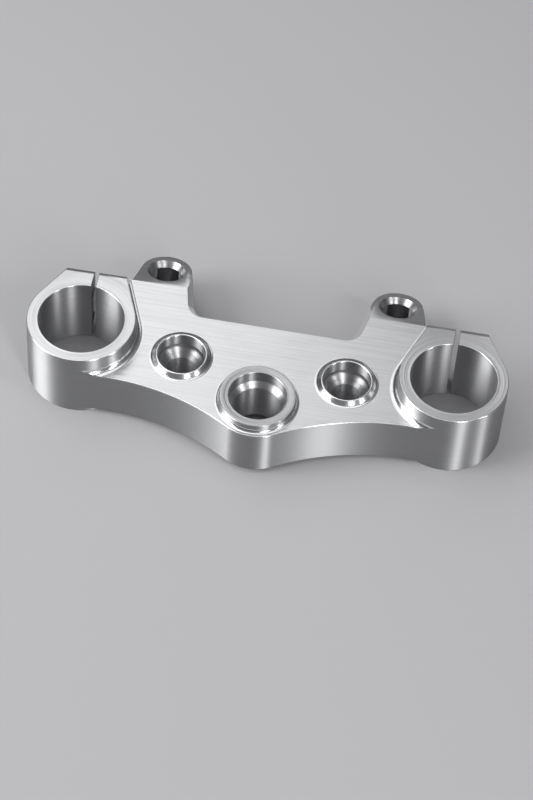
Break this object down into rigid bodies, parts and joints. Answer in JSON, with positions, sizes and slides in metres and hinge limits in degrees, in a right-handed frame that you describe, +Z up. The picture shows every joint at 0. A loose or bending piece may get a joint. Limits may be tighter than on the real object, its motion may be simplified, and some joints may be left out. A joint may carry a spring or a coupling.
{
  "type": "motorcycle triple clamp",
  "caption": "Billet upper triple clamp for a motorcycle fork: slotted fork clamps, a raised stem boss, rimmed handlebar cups and sloping front lugs.",
  "frame": {"origin": "steering stem axis at the plate's underside", "axes": "+X to the rider's right, +Y forward, +Z up along the stem axis"},
  "size_m": [0.2762, 0.128, 0.0456],
  "materials": {
    "billet": "brushed top, turned rings, satin walls"
  },
  "bodies": {
    "root": {"triple_clamp": "billet"}
  },
  "joints": []
}
